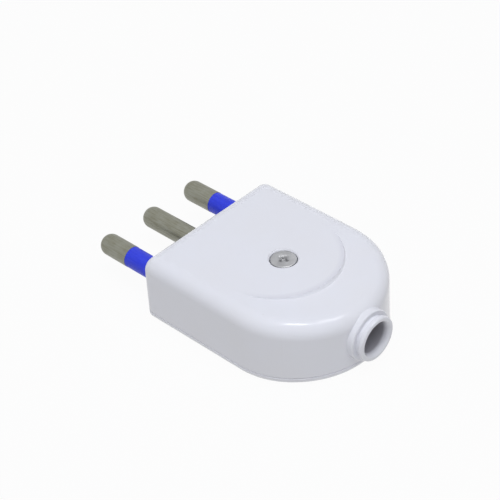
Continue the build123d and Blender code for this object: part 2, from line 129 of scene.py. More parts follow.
class Wiring:
    """Short calls for placing and joining nodes in one tree."""

    mix_inputs = (0, 6, 7)
    mix_output = 2

    def __init__(self, tree: NodeTree) -> None:
        """Keep the tree that is being wired."""
        self.tree = tree

    def add(self, kind: str, **settings: object) -> bpy.types.Node:
        """Place a node and set its properties.

        Args:
            kind: Node type name.
            settings: Property values by name.

        Returns:
            The new node.
        """
        node = self.tree.nodes.new(kind)
        for name, value in settings.items():
            setattr(node, name, value)
        return node

    def join(self, source: object, target: Socket) -> None:
        """Link a socket, or set a plain value, into an input.

        Args:
            source: An output socket, or a value.
            target: The input socket.
        """
        if isinstance(source, bpy.types.NodeSocket):
            self.tree.links.new(source, target)
        else:
            target.default_value = source

    def math(self, operation: str, *values: object, clamp: bool = False) -> Socket:
        """Place a Math node.

        Args:
            operation: Its operation.
            values: Sockets or numbers for its inputs.
            clamp: Whether the result is kept between 0 and 1.

        Returns:
            Its output.
        """
        node = self.add("ShaderNodeMath", operation=operation, use_clamp=clamp)
        for value, target in zip(values, node.inputs):
            self.join(value, target)
        return node.outputs[0]

    def remap(self, value: Socket, low: float, high: float, new_low: float, new_high: float) -> Socket:
        """Map a value from one range to another, clamped.

        Args:
            value: The value.
            low: Start of its range.
            high: End of its range.
            new_low: What the start becomes.
            new_high: What the end becomes.

        Returns:
            The mapped value.
        """
        node = self.add("ShaderNodeMapRange", clamp=True)
        for source, target in zip((value, low, high, new_low, new_high), node.inputs):
            self.join(source, target)
        return node.outputs[0]

    def mix(self, share: object, first: object, second: object) -> Socket:
        """Mix two colours.

        Args:
            share: Share of the second colour.
            first: First colour.
            second: Second colour.

        Returns:
            The mixed colour.
        """
        node = self.add("ShaderNodeMix", data_type="RGBA")
        for source, index in zip((share, first, second), self.mix_inputs):
            self.join(source, node.inputs[index])
        return node.outputs[self.mix_output]

    def noise(self, vector: Socket, scale: float, detail: float = 2.0, roughness: float = 0.5) -> Socket:
        """Place a Noise Texture.

        Args:
            vector: Where it is read.
            scale: Its scale.
            detail: Its octaves.
            roughness: How much the fine octaves count.

        Returns:
            Its value.
        """
        node = self.add("ShaderNodeTexNoise")
        self.join(vector, node.inputs["Vector"])
        node.inputs["Scale"].default_value = scale
        node.inputs["Detail"].default_value = detail
        node.inputs["Roughness"].default_value = roughness
        return node.outputs[0]

    def stretched(self, vector: Socket, scale: tuple[float, float, float]) -> Socket:
        """Scale coordinates unevenly with a Mapping node.

        Args:
            vector: The coordinates.
            scale: Scale along each axis.

        Returns:
            The scaled coordinates.
        """
        node = self.add("ShaderNodeMapping")
        self.join(vector, node.inputs["Vector"])
        node.inputs["Scale"].default_value = scale
        return node.outputs[0]


class ShaderEffects:
    """Shader node groups that more than one finish uses, each built once, with scales in cells per metre."""

    ripple_scale = 180.0
    peel_scale = 1400.0
    peel_share = 0.05
    cloud_scale = 55.0
    cloud_edges = (0.3, 0.7)
    smudge_scale = 95.0
    smudge_edges = (0.48, 0.72)
    speck_scale = 520.0
    speck_edges = (0.05, 0.11)
    rarity_scale = 300.0
    rarity_edges = (0.68, 0.74)
    line_scale = 5200.0
    line_stretch = (1.0, 0.05, 1.0)
    patch_scale = 420.0
    patch_edges = (0.4, 0.65)

    def __init__(self) -> None:
        """Build the groups."""
        self.skin = self._moulded_skin()
        self.handling = self._handling()
        self.draw_lines = self._draw_lines()

    @staticmethod
    def _open(name: str, outputs: tuple[str, ...]) -> tuple[Wiring, bpy.types.Node, bpy.types.Node]:
        """Start a group with a Vector and an Amount input.

        Args:
            name: Name of the group.
            outputs: Names of its value outputs.

        Returns:
            Its wiring, input node and output node.
        """
        tree = bpy.data.node_groups.new(name, "ShaderNodeTree")
        tree.interface.new_socket("Vector", in_out="INPUT", socket_type="NodeSocketVector")
        amount = tree.interface.new_socket("Amount", in_out="INPUT", socket_type="NodeSocketFloat")
        amount.default_value = 1.0
        for output in outputs:
            tree.interface.new_socket(output, in_out="OUTPUT", socket_type="NodeSocketFloat")
        wiring = Wiring(tree)
        return wiring, wiring.add("NodeGroupInput"), wiring.add("NodeGroupOutput")

    def _moulded_skin(self) -> NodeTree:
        """Slow ripple of a moulded wall, its faint orange peel and its cloudy tone.

        Returns:
            The group.
        """
        wiring, source, target = self._open("moulded_skin", ("Height", "Tone"))
        place = source.outputs["Vector"]
        ripple = wiring.noise(place, self.ripple_scale, 1.0)
        peel = wiring.noise(place, self.peel_scale, 2.0)
        height = wiring.math("MULTIPLY_ADD", peel, self.peel_share, ripple)
        wiring.join(wiring.math("MULTIPLY", height, source.outputs["Amount"]), target.inputs["Height"])
        cloud = wiring.noise(place, self.cloud_scale, 3.0, 0.6)
        wiring.join(wiring.remap(cloud, *self.cloud_edges, 0.0, 1.0), target.inputs["Tone"])
        return wiring.tree

    def _handling(self) -> NodeTree:
        """Smudges from fingers and sparse dust specks.

        Returns:
            The group.
        """
        wiring, source, target = self._open("handling", ("Smudge", "Dust"))
        place = source.outputs["Vector"]
        touched = wiring.noise(place, self.smudge_scale, 4.0, 0.65)
        patch = wiring.remap(touched, *self.smudge_edges, 0.0, 1.0)
        wiring.join(wiring.math("MULTIPLY", patch, source.outputs["Amount"]), target.inputs["Smudge"])
        cells = wiring.add("ShaderNodeTexVoronoi", feature="F1")
        wiring.join(place, cells.inputs["Vector"])
        cells.inputs["Scale"].default_value = self.speck_scale
        speck = wiring.remap(cells.outputs["Distance"], *self.speck_edges, 1.0, 0.0)
        rare = wiring.remap(wiring.noise(place, self.rarity_scale, 0.0), *self.rarity_edges, 0.0, 1.0)
        dust = wiring.math("MULTIPLY", wiring.math("MULTIPLY", speck, rare), source.outputs["Amount"])
        wiring.join(dust, target.inputs["Dust"])
        return wiring.tree

    def _draw_lines(self) -> NodeTree:
        """Fine lines along Y, as drawing, turning and use leave on a rod.

        Returns:
            The group.
        """
        wiring, source, target = self._open("draw_lines", ("Lines", "Patches"))
        place = source.outputs["Vector"]
        along = wiring.stretched(place, self.line_stretch)
        lines = wiring.noise(along, self.line_scale, 2.0, 0.6)
        wiring.join(wiring.math("MULTIPLY", lines, source.outputs["Amount"]), target.inputs["Lines"])
        patches = wiring.noise(place, self.patch_scale, 4.0, 0.6)
        wiring.join(wiring.remap(patches, *self.patch_edges, 0.0, 1.0), target.inputs["Patches"])
        return wiring.tree


@dataclass(frozen=True)
class Finish:
    """Base of all finishes: a named material with one Principled BSDF."""

    name: str
    slot: Slot

    def build(self, effects: ShaderEffects) -> Material:
        """Make the material.

        Args:
            effects: The shared shader groups.

        Returns:
            The material.
        """
        material = bpy.data.materials.new(self.name)
        material.use_nodes = True
        tree = material.node_tree
        wiring = Wiring(tree)
        shader = tree.nodes["Principled BSDF"]
        place = wiring.add("ShaderNodeTexCoord").outputs["Object"]
        self.dress(wiring, shader, place, effects)
        return material

    def dress(self, wiring: Wiring, shader: bpy.types.Node, place: Socket, effects: ShaderEffects) -> None:
        """Wire the finish into the shader, as each finish does in its own way."""
        raise NotImplementedError

    @staticmethod
    def effect(wiring: Wiring, group: NodeTree, place: Socket, amount: float = 1.0) -> bpy.types.Node:
        """Place a shared group.

        Args:
            wiring: Wiring of the material's tree.
            group: The group.
            place: Coordinates that it reads.
            amount: Strength of the effect.

        Returns:
            The group node.
        """
        node = wiring.add("ShaderNodeGroup", node_tree=group)
        wiring.join(place, node.inputs["Vector"])
        node.inputs["Amount"].default_value = amount
        return node

    @staticmethod
    def bump(wiring: Wiring, shader: bpy.types.Node, height: Socket, depth: float) -> None:
        """Feed a height into the shader's normal.

        Args:
            wiring: Wiring of the material's tree.
            shader: Its Principled BSDF.
            height: Height from 0 to 1.
            depth: What a height of 1 is, in metres.
        """
        node = wiring.add("ShaderNodeBump")
        node.inputs["Distance"].default_value = depth
        node.inputs["Strength"].default_value = 1.0
        wiring.join(height, node.inputs["Height"])
        wiring.join(node.outputs[0], shader.inputs["Normal"])


@dataclass(frozen=True)
class GlossMoulding(Finish):
    """Glossy white thermoset of the cover and lid."""

    white: tuple[int, int, int] = (235, 236, 243)
    warm: tuple[int, int, int] = (234, 234, 239)
    dust: tuple[int, int, int] = (190, 188, 182)
    dust_share: float = 0.15
    # painted shade: the cable bore's depth is coloured grey to stand in for the shade inside it
    throat_shade: tuple[int, int, int] = (176, 175, 182)
    throat_radius: float = 3.95 * MM
    throat_rise: float = 0.5 * MM
    throat_start: float = -47.8 * MM
    throat_full: float = -47.2 * MM
    throat_end: float = -40.0 * MM
    pad_centre: float = -21.5 * MM
    pad_band: tuple[float, float, float] = (12.9 * MM, 14.1 * MM, 14.5 * MM)
    pad_rear: tuple[float, float] = (-9.0 * MM, -3.0 * MM)
    pad_above: float = 5.0 * MM
    # painted shade: a darker band along the pad's rear rim stands in for the step's shadow
    pad_painted_shade: tuple[int, int, int] = (224, 224, 232)
    polish: float = 0.16
    smudged: float = 0.24
    refraction: float = 1.5
    specular: float = 0.15
    gloss: float = 0.25
    gloss_roughness: float = 0.03
    ripple_depth: float = 0.008 * MM

    def dress(self, wiring: Wiring, shader: bpy.types.Node, place: Socket, effects: ShaderEffects) -> None:
        """Wire cloudy white, finger smudges, dust, painted shade in the cable bore and along the pad's rear
        rim, and a slow ripple.

        Args:
            wiring: Wiring of the material's tree.
            shader: Its Principled BSDF.
            place: Object coordinates.
            effects: The shared shader groups.
        """
        skin = self.effect(wiring, effects.skin, place)
        handling = self.effect(wiring, effects.handling, place)
        tone = wiring.mix(skin.outputs["Tone"], linear(*self.white), linear(*self.warm))
        dusty = wiring.math("MULTIPLY", handling.outputs["Dust"], self.dust_share)
        dusted = wiring.mix(dusty, tone, linear(*self.dust))
        parts = wiring.add("ShaderNodeSeparateXYZ")
        wiring.join(place, parts.inputs[0])
        # painted shade along the pad's rear rim
        rim_shaded = wiring.mix(self._pad_rim_shade_mask(wiring, parts.outputs), dusted, linear(*self.pad_painted_shade))
        # painted shade in the depth of the cable bore
        wiring.join(wiring.mix(self._throat_shade_mask(wiring, parts.outputs), rim_shaded, linear(*self.throat_shade)),
                    shader.inputs["Base Color"])
        rough = wiring.remap(handling.outputs["Smudge"], 0.0, 1.0, self.polish, self.smudged)
        wiring.join(rough, shader.inputs["Roughness"])
        shader.inputs["IOR"].default_value = self.refraction
        shader.inputs["Specular IOR Level"].default_value = self.specular
        shader.inputs["Coat Weight"].default_value = self.gloss
        shader.inputs["Coat Roughness"].default_value = self.gloss_roughness
        self.bump(wiring, shader, skin.outputs["Height"], self.ripple_depth)

    def _pad_rim_shade_mask(self, wiring: Wiring, parts: bpy.types.bpy_prop_collection) -> Socket:
        """Rise from zero to one towards the rear rim of the raised pad, where a darker painted shade stands
        in for the step's shadow.

        Args:
            wiring: Wiring of the material's tree.
            parts: X, Y and Z outputs of the object coordinates.

        Returns:
            The mask.
        """
        behind = wiring.math("SUBTRACT", parts["Y"], self.pad_centre)
        spread = wiring.math("ADD", wiring.math("POWER", parts["X"], 2.0), wiring.math("POWER", behind, 2.0))
        radius = wiring.math("SQRT", spread)
        inner, rim, outer = self.pad_band
        rising = wiring.remap(radius, inner, rim, 0.0, 1.0)
        inside = wiring.remap(radius, rim, outer, 1.0, 0.0)
        rear = wiring.remap(behind, *self.pad_rear, 1.0, 0.0)
        high = wiring.math("GREATER_THAN", parts["Z"], self.pad_above)
        band = wiring.math("MULTIPLY", wiring.math("MULTIPLY", rising, inside), rear)
        return wiring.math("MULTIPLY", band, high)

    def _throat_shade_mask(self, wiring: Wiring, parts: bpy.types.bpy_prop_collection) -> Socket:
        """One where shade is painted into the depth of the cable bore and zero elsewhere.

        Args:
            wiring: Wiring of the material's tree.
            parts: X, Y and Z outputs of the object coordinates.

        Returns:
            The mask.
        """
        rise = wiring.math("SUBTRACT", parts["Z"], self.throat_rise)
        spread = wiring.math("ADD", wiring.math("POWER", parts["X"], 2.0), wiring.math("POWER", rise, 2.0))
        near = wiring.math("LESS_THAN", spread, self.throat_radius ** 2)
        deep = wiring.remap(parts["Y"], self.throat_start, self.throat_full, 0.0, 1.0)
        outer = wiring.math("LESS_THAN", parts["Y"], self.throat_end)
        return wiring.math("MULTIPLY", wiring.math("MULTIPLY", near, outer), deep)


@dataclass(frozen=True)
class PinPlate(Finish):
    """Dull nickel plate over brass, a little yellow where it has thinned."""

    plate: tuple[int, int, int] = (145, 146, 136)
    thin: tuple[int, int, int] = (123, 121, 104)
    worn_edges: tuple[float, float] = (0.45, 0.7)
    worn_most: float = 0.7
    patch_share: float = 0.3
    smudge_share: float = 0.12
    smear_edges: tuple[float, float] = (0.2, 0.9)
    roughness: tuple[float, float] = (0.34, 0.52)
    line_depth: float = 0.006 * MM

    def dress(self, wiring: Wiring, shader: bpy.types.Node, place: Socket, effects: ShaderEffects) -> None:
        """Wire streaked plate and draw lines.

        Args:
            wiring: Wiring of the material's tree.
            shader: Its Principled BSDF.
            place: Object coordinates.
            effects: The shared shader groups.
        """
        lines = self.effect(wiring, effects.draw_lines, place)
        handling = self.effect(wiring, effects.handling, place)
        worn = wiring.remap(lines.outputs["Lines"], *self.worn_edges, 0.0, self.worn_most)
        patchy = wiring.math("MULTIPLY_ADD", lines.outputs["Patches"], self.patch_share, worn, clamp=True)
        wiring.join(wiring.mix(patchy, linear(*self.plate), linear(*self.thin)), shader.inputs["Base Color"])
        shader.inputs["Metallic"].default_value = 1.0
        smudge = wiring.math("MULTIPLY", handling.outputs["Smudge"], self.smudge_share)
        smear = wiring.math("ADD", smudge, lines.outputs["Lines"])
        wiring.join(wiring.remap(smear, *self.smear_edges, *self.roughness), shader.inputs["Roughness"])
        self.bump(wiring, shader, lines.outputs["Lines"], self.line_depth)


@dataclass(frozen=True)
class SleevePlastic(Finish):
    """Satin blue insulating plastic."""

    blue: tuple[int, int, int] = (46, 61, 217)
    pale: tuple[int, int, int] = (60, 77, 227)
    rubbed_edges: tuple[float, float] = (0.45, 0.75)
    rubbed_most: float = 0.8
    specular: float = 0.3
    roughness: tuple[float, float] = (0.36, 0.5)
    grain_depth: float = 0.02 * MM

    def dress(self, wiring: Wiring, shader: bpy.types.Node, place: Socket, effects: ShaderEffects) -> None:
        """Wire rubbed blue with a fine grain.

        Args:
            wiring: Wiring of the material's tree.
            shader: Its Principled BSDF.
            place: Object coordinates.
            effects: The shared shader groups.
        """
        lines = self.effect(wiring, effects.draw_lines, place)
        skin = self.effect(wiring, effects.skin, place)
        rubbed = wiring.remap(lines.outputs["Lines"], *self.rubbed_edges, 0.0, self.rubbed_most)
        wiring.join(wiring.mix(rubbed, linear(*self.blue), linear(*self.pale)), shader.inputs["Base Color"])
        shader.inputs["Specular IOR Level"].default_value = self.specular
        rough = wiring.remap(lines.outputs["Patches"], 0.0, 1.0, *self.roughness)
        wiring.join(rough, shader.inputs["Roughness"])
        self.bump(wiring, shader, skin.outputs["Height"], self.grain_depth)


@dataclass(frozen=True)
class ZincSteel(Finish):
    """Zinc-plated steel of the screws and the nut."""

    zinc: tuple[int, int, int] = (181, 182, 185)
    dull: tuple[int, int, int] = (165, 166, 169)
    # painted shade: ambient occlusion darkens the recesses, such as the cross of the head, towards this grey
    recess_shade: tuple[int, int, int] = (128, 128, 131)
    recess_shade_reach: float = 0.7 * MM
    recess_shade_edges: tuple[float, float] = (0.4, 0.95)
    recess_shade_most: float = 0.9
    recess_shade_roughness: float = 0.3
    roughness: tuple[float, float] = (0.46, 0.6)
    cloud_depth: float = 0.01 * MM

    def dress(self, wiring: Wiring, shader: bpy.types.Node, place: Socket, effects: ShaderEffects) -> None:
        """Wire clouded zinc with smudges, and painted shade that darkens and roughens its recesses.

        Args:
            wiring: Wiring of the material's tree.
            shader: Its Principled BSDF.
            place: Object coordinates.
            effects: The shared shader groups.
        """
        lines = self.effect(wiring, effects.draw_lines, place)
        handling = self.effect(wiring, effects.handling, place)
        plated = wiring.mix(lines.outputs["Patches"], linear(*self.zinc), linear(*self.dull))
        # painted shade from ambient occlusion, darkest deep in the recesses
        corner = wiring.add("ShaderNodeAmbientOcclusion", samples=4, only_local=True)
        corner.inputs["Distance"].default_value = self.recess_shade_reach
        recess_shade_mask = wiring.remap(corner.outputs["AO"], *self.recess_shade_edges, self.recess_shade_most, 0.0)
        wiring.join(wiring.mix(recess_shade_mask, plated, linear(*self.recess_shade)), shader.inputs["Base Color"])
        shader.inputs["Metallic"].default_value = 1.0
        smeared = wiring.remap(handling.outputs["Smudge"], 0.0, 1.0, *self.roughness)
        rough = wiring.math("MULTIPLY_ADD", recess_shade_mask, self.recess_shade_roughness, smeared)
        wiring.join(rough, shader.inputs["Roughness"])
        self.bump(wiring, shader, lines.outputs["Patches"], self.cloud_depth)


@dataclass(frozen=True)
class PlainNylon(Finish):
    """Unpolished nylon of the clamp bar."""

    body: tuple[int, int, int] = (226, 225, 219)
    shade: tuple[int, int, int] = (216, 214, 206)
    roughness: tuple[float, float] = (0.5, 0.62)
    grain_depth: float = 0.05 * MM

    def dress(self, wiring: Wiring, shader: bpy.types.Node, place: Socket, effects: ShaderEffects) -> None:
        """Wire a cloudy tone and a rough skin.

        Args:
            wiring: Wiring of the material's tree.
            shader: Its Principled BSDF.
            place: Object coordinates.
            effects: The shared shader groups.
        """
        skin = self.effect(wiring, effects.skin, place)
        wiring.join(wiring.mix(skin.outputs["Tone"], linear(*self.body), linear(*self.shade)),
                    shader.inputs["Base Color"])
        wiring.join(wiring.remap(skin.outputs["Tone"], 0.0, 1.0, *self.roughness), shader.inputs["Roughness"])
        self.bump(wiring, shader, skin.outputs["Height"], self.grain_depth)


class FinishRack:
    """Every finish of the plug, built once."""

    def __init__(self) -> None:
        """Build the shared effects and one material for each slot."""
        effects = ShaderEffects()
        finishes = (
            GlossMoulding("gloss_white_moulding", Slot.MOULDING),
            PinPlate("nickel_plated_pin", Slot.PIN),
            SleevePlastic("blue_sleeve_plastic", Slot.SLEEVE),
            ZincSteel("zinc_plated_steel", Slot.STEEL),
            PlainNylon("clamp_nylon", Slot.CLAMP),
        )
        self.materials = {finish.slot: finish.build(effects) for finish in finishes}

    def coat(self, piece: bpy.types.Object, slot: Slot) -> None:
        """Give a piece the finish of a slot.

        Args:
            piece: The piece.
            slot: The slot.
        """
        if not piece.material_slots:
            piece.data.materials.append(None)
        for holder in piece.material_slots:
            holder.material = self.materials[slot]


class GeometryRule:
    """Base of the geometry trees: named inputs in, one finished mesh out."""

    name = "rule"
    floats: tuple[str, ...] = ()
    counts: tuple[str, ...] = ()

    def __init__(self) -> None:
        """Build the tree once."""
        self.tree = bpy.data.node_groups.new(self.name, "GeometryNodeTree")
        face = self.tree.interface
        face.new_socket("Geometry", in_out="OUTPUT", socket_type="NodeSocketGeometry")
        for label in self.floats:
            face.new_socket(label, in_out="INPUT", socket_type="NodeSocketFloat")
        for label in self.counts:
            face.new_socket(label, in_out="INPUT", socket_type="NodeSocketInt")
        face.new_socket("Finish", in_out="INPUT", socket_type="NodeSocketMaterial")
        wiring = Wiring(self.tree)
        inputs = wiring.add("NodeGroupInput").outputs
        shaped = self.shape(wiring, inputs)
        whole = wiring.add("GeometryNodeRealizeInstances")
        wiring.join(shaped, whole.inputs[0])
        painted = wiring.add("GeometryNodeSetMaterial")
        wiring.join(whole.outputs[0], painted.inputs["Geometry"])
        wiring.join(inputs["Finish"], painted.inputs["Material"])
        wiring.join(painted.outputs[0], wiring.add("NodeGroupOutput").inputs[0])

    def shape(self, wiring: Wiring, inputs: bpy.types.bpy_prop_collection) -> Socket:
        """Wire the shape and give its geometry, as each rule does in its own way."""
        raise NotImplementedError

    def grow(self, values: dict[str, object]) -> bpy.types.Mesh:
        """Run the tree once and keep its mesh.

        Args:
            values: Value of each named input.

        Returns:
            The mesh, with no modifier behind it.
        """
        seed = bpy.data.objects.new(self.name + "_seed", bpy.data.meshes.new(self.name + "_seed"))
        bpy.context.scene.collection.objects.link(seed)
        modifier = seed.modifiers.new(self.name, "NODES")
        modifier.node_group = self.tree
        for item in self.tree.interface.items_tree:
            if item.item_type == "SOCKET" and item.in_out == "INPUT":
                modifier[item.identifier] = values[item.name]
        graph = bpy.context.evaluated_depsgraph_get()
        graph.update()
        mesh = bpy.data.meshes.new_from_object(seed.evaluated_get(graph), depsgraph=graph)
        bpy.data.objects.remove(seed)
        return mesh


class ThreadRule(GeometryRule):
    """Screw thread that starts at the origin and runs up Z, with a run-out and a chamfered tip."""

    name = "helical_thread"
    floats = ("Radius", "Depth", "Pitch", "Length", "Tip")
    counts = ("Columns", "Rows")
    crest = 0.18
    steepness = 1.55
    run_out = (0.6, 2.0)
    pole_edge = 0.4999
    weld = 0.002 * MM

    def shape(self, wiring: Wiring, inputs: bpy.types.bpy_prop_collection) -> Socket:
        """Roll a grid into a tube whose radius follows the helix.

        Args:
            wiring: Wiring of the tree.
            inputs: Outputs of its input node.

        Returns:
            The merged tube.
        """
        grid = wiring.add("GeometryNodeMeshGrid")
        grid.inputs["Size X"].default_value = 1.0
        grid.inputs["Size Y"].default_value = 1.0
        wiring.join(inputs["Columns"], grid.inputs["Vertices X"])
        wiring.join(inputs["Rows"], grid.inputs["Vertices Y"])
        flat = wiring.add("ShaderNodeSeparateXYZ")
        wiring.join(wiring.add("GeometryNodeInputPosition").outputs[0], flat.inputs[0])
        turn = wiring.math("ADD", flat.outputs["X"], 0.5)
        along = wiring.math("ADD", flat.outputs["Y"], 0.5)
        height = wiring.math("MULTIPLY", along, inputs["Length"])
        turns = wiring.math("DIVIDE", height, inputs["Pitch"])
        phase = wiring.math("FRACT", wiring.math("SUBTRACT", turns, turn))
        ridge = wiring.math("ABSOLUTE", wiring.math("MULTIPLY_ADD", phase, 2.0, -1.0))
        valley = wiring.math("SUBTRACT", 1.0 - self.crest, ridge)
        groove = wiring.math("MULTIPLY", valley, self.steepness, clamp=True)
        started = wiring.remap(turns, *self.run_out, 0.0, 1.0)
        cut = wiring.math("MULTIPLY", wiring.math("MULTIPLY", groove, started), inputs["Depth"])
        tip_start = wiring.math("SUBTRACT", inputs["Length"], inputs["Tip"])
        blunt = wiring.math("MAXIMUM", wiring.math("SUBTRACT", height, tip_start), 0.0)
        limit = wiring.math("SUBTRACT", inputs["Radius"], blunt)
        radius = wiring.math("MINIMUM", wiring.math("SUBTRACT", inputs["Radius"], cut), limit)
        middle = wiring.math("LESS_THAN", wiring.math("ABSOLUTE", flat.outputs["Y"]), self.pole_edge)
        radius = wiring.math("MULTIPLY", radius, middle)
        angle = wiring.math("MULTIPLY", turn, 2 * math.pi)
        rolled = wiring.add("ShaderNodeCombineXYZ")
        wiring.join(wiring.math("MULTIPLY", radius, wiring.math("COSINE", angle)), rolled.inputs[0])
        wiring.join(wiring.math("MULTIPLY", radius, wiring.math("SINE", angle)), rolled.inputs[1])
        wiring.join(height, rolled.inputs[2])
        tube = wiring.add("GeometryNodeSetPosition")
        wiring.join(grid.outputs["Mesh"], tube.inputs["Geometry"])
        wiring.join(rolled.outputs[0], tube.inputs["Position"])
        merged = wiring.add("GeometryNodeMergeByDistance")
        wiring.join(tube.outputs[0], merged.inputs["Geometry"])
        merged.inputs["Distance"].default_value = self.weld
        return merged.outputs[0]


@dataclass(frozen=True)
class ThreadSize:
    """Pitch, depth and fineness of one kind of thread."""

    pitch: float
    depth: float
    tip: float
    columns: int = 41
    rows_per_turn: int = 8


class ScrewKind(Enum):
    """Threads used in the plug."""

    MACHINE = ThreadSize(0.5 * MM, 0.26 * MM, 0.3 * MM)
    SELF_TAPPING = ThreadSize(0.8 * MM, 0.32 * MM, 0.55 * MM)


@dataclass(frozen=True)
class SteelPiece:
    """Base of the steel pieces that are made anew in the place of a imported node."""

    node: str

    def put(self, form: bmesh.types.BMesh, name: str, rack: FinishRack) -> None:
        """Turn a finished form into the piece that stands for the node.

        Args:
            form: The form, freed here.
            name: Name of the piece.
            rack: The finishes.
        """
        mesh = bpy.data.meshes.new(name)
        form.to_mesh(mesh)
        form.free()
        for face in mesh.polygons:
            face.use_smooth = True
        mesh.set_sharp_from_angle(angle=CREASE)
        piece = bpy.data.objects.new(name, mesh)
        bpy.context.scene.collection.objects.link(piece)
        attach(piece, ROOT_BODY)
        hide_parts(self.node)
        rack.coat(piece, Slot.STEEL)
        LOG.info("made %s anew as %s", self.node, name)


@dataclass(frozen=True)
class Screw(SteelPiece):
    """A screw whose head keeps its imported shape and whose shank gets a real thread."""

    kind: ScrewKind
    head_height: float
    head_up: bool
    radius: float
    overlap: float = 0.04 * MM
    weld: float = 0.001 * MM

    def build(self, frame: dict, rule: ThreadRule, rack: FinishRack) -> None:
        """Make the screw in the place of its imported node.

        Args:
            rule: The thread's geometry tree.
            rack: The finishes.
        """
        low, high = (Vector(corner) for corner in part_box(self.node))
        seat = high.z - self.head_height if self.head_up else low.z + self.head_height
        form = bmesh.new()
        self._head(form, frame["nodes"][self.node].data, seat)
        self._thread(form, rule, rack, Vector(((low.x + high.x) / 2, (low.y + high.y) / 2, seat)),
                     seat - low.z if self.head_up else high.z - seat)
        self.put(form, self.node + "_threaded", rack)

    def _head(self, form: bmesh.types.BMesh, packed: bpy.types.Mesh, seat: float) -> None:
        """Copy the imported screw, merge it and cut its shank off under the head.

        Args:
            form: Where the head goes.
            packed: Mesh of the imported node.
            seat: Height at which the head sits.
        """
        form.from_mesh(packed)
        bmesh.ops.remove_doubles(form, verts=form.verts, dist=self.weld)
        cut = seat - self.overlap if self.head_up else seat + self.overlap
        bmesh.ops.bisect_plane(form, geom=form.verts[:] + form.edges[:] + form.faces[:],
                               plane_co=(0.0, 0.0, cut), plane_no=(0.0, 0.0, 1.0),
                               clear_inner=self.head_up, clear_outer=not self.head_up)
        open_edges = [edge for edge in form.edges if edge.is_boundary]
        bmesh.ops.holes_fill(form, edges=open_edges, sides=0)

    def _thread(self, form: bmesh.types.BMesh, rule: ThreadRule, rack: FinishRack, foot: Vector,
                length: float) -> None:
        """Grow the threaded shank and put it under the head.

        Args:
            form: Where the shank goes.
            rule: The thread's geometry tree.
            rack: The finishes.
            foot: Centre of the head's seat.
            length: Length of the shank.
        """
        size = self.kind.value
        mesh = rule.grow({
            "Radius": self.radius, "Depth": size.depth, "Pitch": size.pitch, "Length": length,
            "Tip": size.tip, "Columns": size.columns,
            "Rows": round(length / size.pitch * size.rows_per_turn) + 1,
            "Finish": rack.materials[Slot.STEEL],
        })
        turn = Matrix.Rotation(math.pi, 4, "X") if self.head_up else Matrix.Identity(4)
        mesh.transform(Matrix.Translation(foot) @ turn)
        form.from_mesh(mesh)
        bpy.data.meshes.remove(mesh)


@dataclass(frozen=True)
class HexNut(SteelPiece):
    """Hexagon nut with turned corners and a threaded bore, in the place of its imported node."""

    node: str = "assembly_nut"
    across_flats: float = 5.5 * MM
    bore: float = 1.55 * MM
    corner_round: float = 0.22 * MM
    corner_drop: float = 0.256 * MM
    lead: float = 0.2 * MM
    thread_depth: float = 0.1 * MM
    first_crest: float = 0.75
    last_crest: float = 0.6
    columns: int = 72
    threads: int = 5

    def build(self, rack: FinishRack) -> None:
        """Make the nut.

        Args:
            rack: The finishes.
        """
        low, high = (Vector(corner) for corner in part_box(self.node))
        middle = (low + high) / 2
        form = bmesh.new()
        rings = []
        for limit, height in self._rows(low.z, high.z):
            places = [(middle.x + radius * math.cos(turn), middle.y + radius * math.sin(turn), height)
                      for turn, radius in self._ring(limit)]
            rings.append([form.verts.new(place) for place in places])
        for first, second in zip(rings, rings[1:] + rings[:1]):
            for index in range(self.columns):
                following = (index + 1) % self.columns
                form.faces.new((first[index], first[following], second[following], second[index]))
        bmesh.ops.recalc_face_normals(form, faces=form.faces[:])
        self.put(form, self.node + "_turned", rack)

    def _ring(self, limit: float) -> list[tuple[float, float]]:
        """Angles and radii of one ring, the hexagon cut by a circle.

        Args:
            limit: Radius of the circle.

        Returns:
            Pairs of angle and radius.
        """
        sector = math.pi / 3
        ring = []
        for index in range(self.columns):
            turn = 2 * math.pi * index / self.columns
            local = (turn + sector / 2) % sector - sector / 2
            ring.append((turn + math.pi / 2, min(self.across_flats / 2 / math.cos(local), limit)))
        return ring

    def _rows(self, low: float, high: float) -> list[tuple[float, float]]:
        """Circle radius and height of each ring, round the section and down the bore.

        Args:
            low: Lower face.
            high: Upper face.

        Returns:
            Pairs of radius and height.
        """
        corner = self.across_flats / math.sqrt(3.0)
        face = self.across_flats / 2 - self.corner_round / 2
        mouth = self.bore + self.lead
        rows = [(mouth, low), (face, low), (corner, low + self.corner_drop)]
        rows += [(corner, high - self.corner_drop), (face, high), (mouth, high)]
        step = (high - low) / (self.threads + 1)
        for index in range(self.threads):
            height = high - step * (index + self.first_crest)
            rows += [(self.bore, height), (self.bore + self.thread_depth, height - step / 2)]
        rows.append((self.bore, low + step * self.last_crest))
        return rows


@dataclass
class ScrewSet:
    """Every screw of the plug."""

    screws: tuple[Screw, ...] = (
        Screw("assembly_screw", ScrewKind.MACHINE,
              head_height=1.9 * MM, head_up=True, radius=1.5 * MM),
        Screw("terminal_screw_left", ScrewKind.MACHINE,
              head_height=1.3 * MM, head_up=False, radius=1.5 * MM),
        Screw("terminal_screw_earth", ScrewKind.MACHINE,
              head_height=1.3 * MM, head_up=False, radius=1.5 * MM),
        Screw("terminal_screw_right", ScrewKind.MACHINE,
              head_height=1.3 * MM, head_up=False, radius=1.5 * MM),
        Screw("clamp_screw_left", ScrewKind.SELF_TAPPING,
              head_height=1.2 * MM, head_up=False, radius=1.1 * MM),
        Screw("clamp_screw_right", ScrewKind.SELF_TAPPING,
              head_height=1.2 * MM, head_up=False, radius=1.1 * MM),
    )

    def build(self, frame: dict, rack: FinishRack) -> None:
        """Make each screw with one shared thread tree.

        Args:
            rack: The finishes.
        """
        rule = ThreadRule()
        for screw in self.screws:
            screw.build(frame, rule, rack)


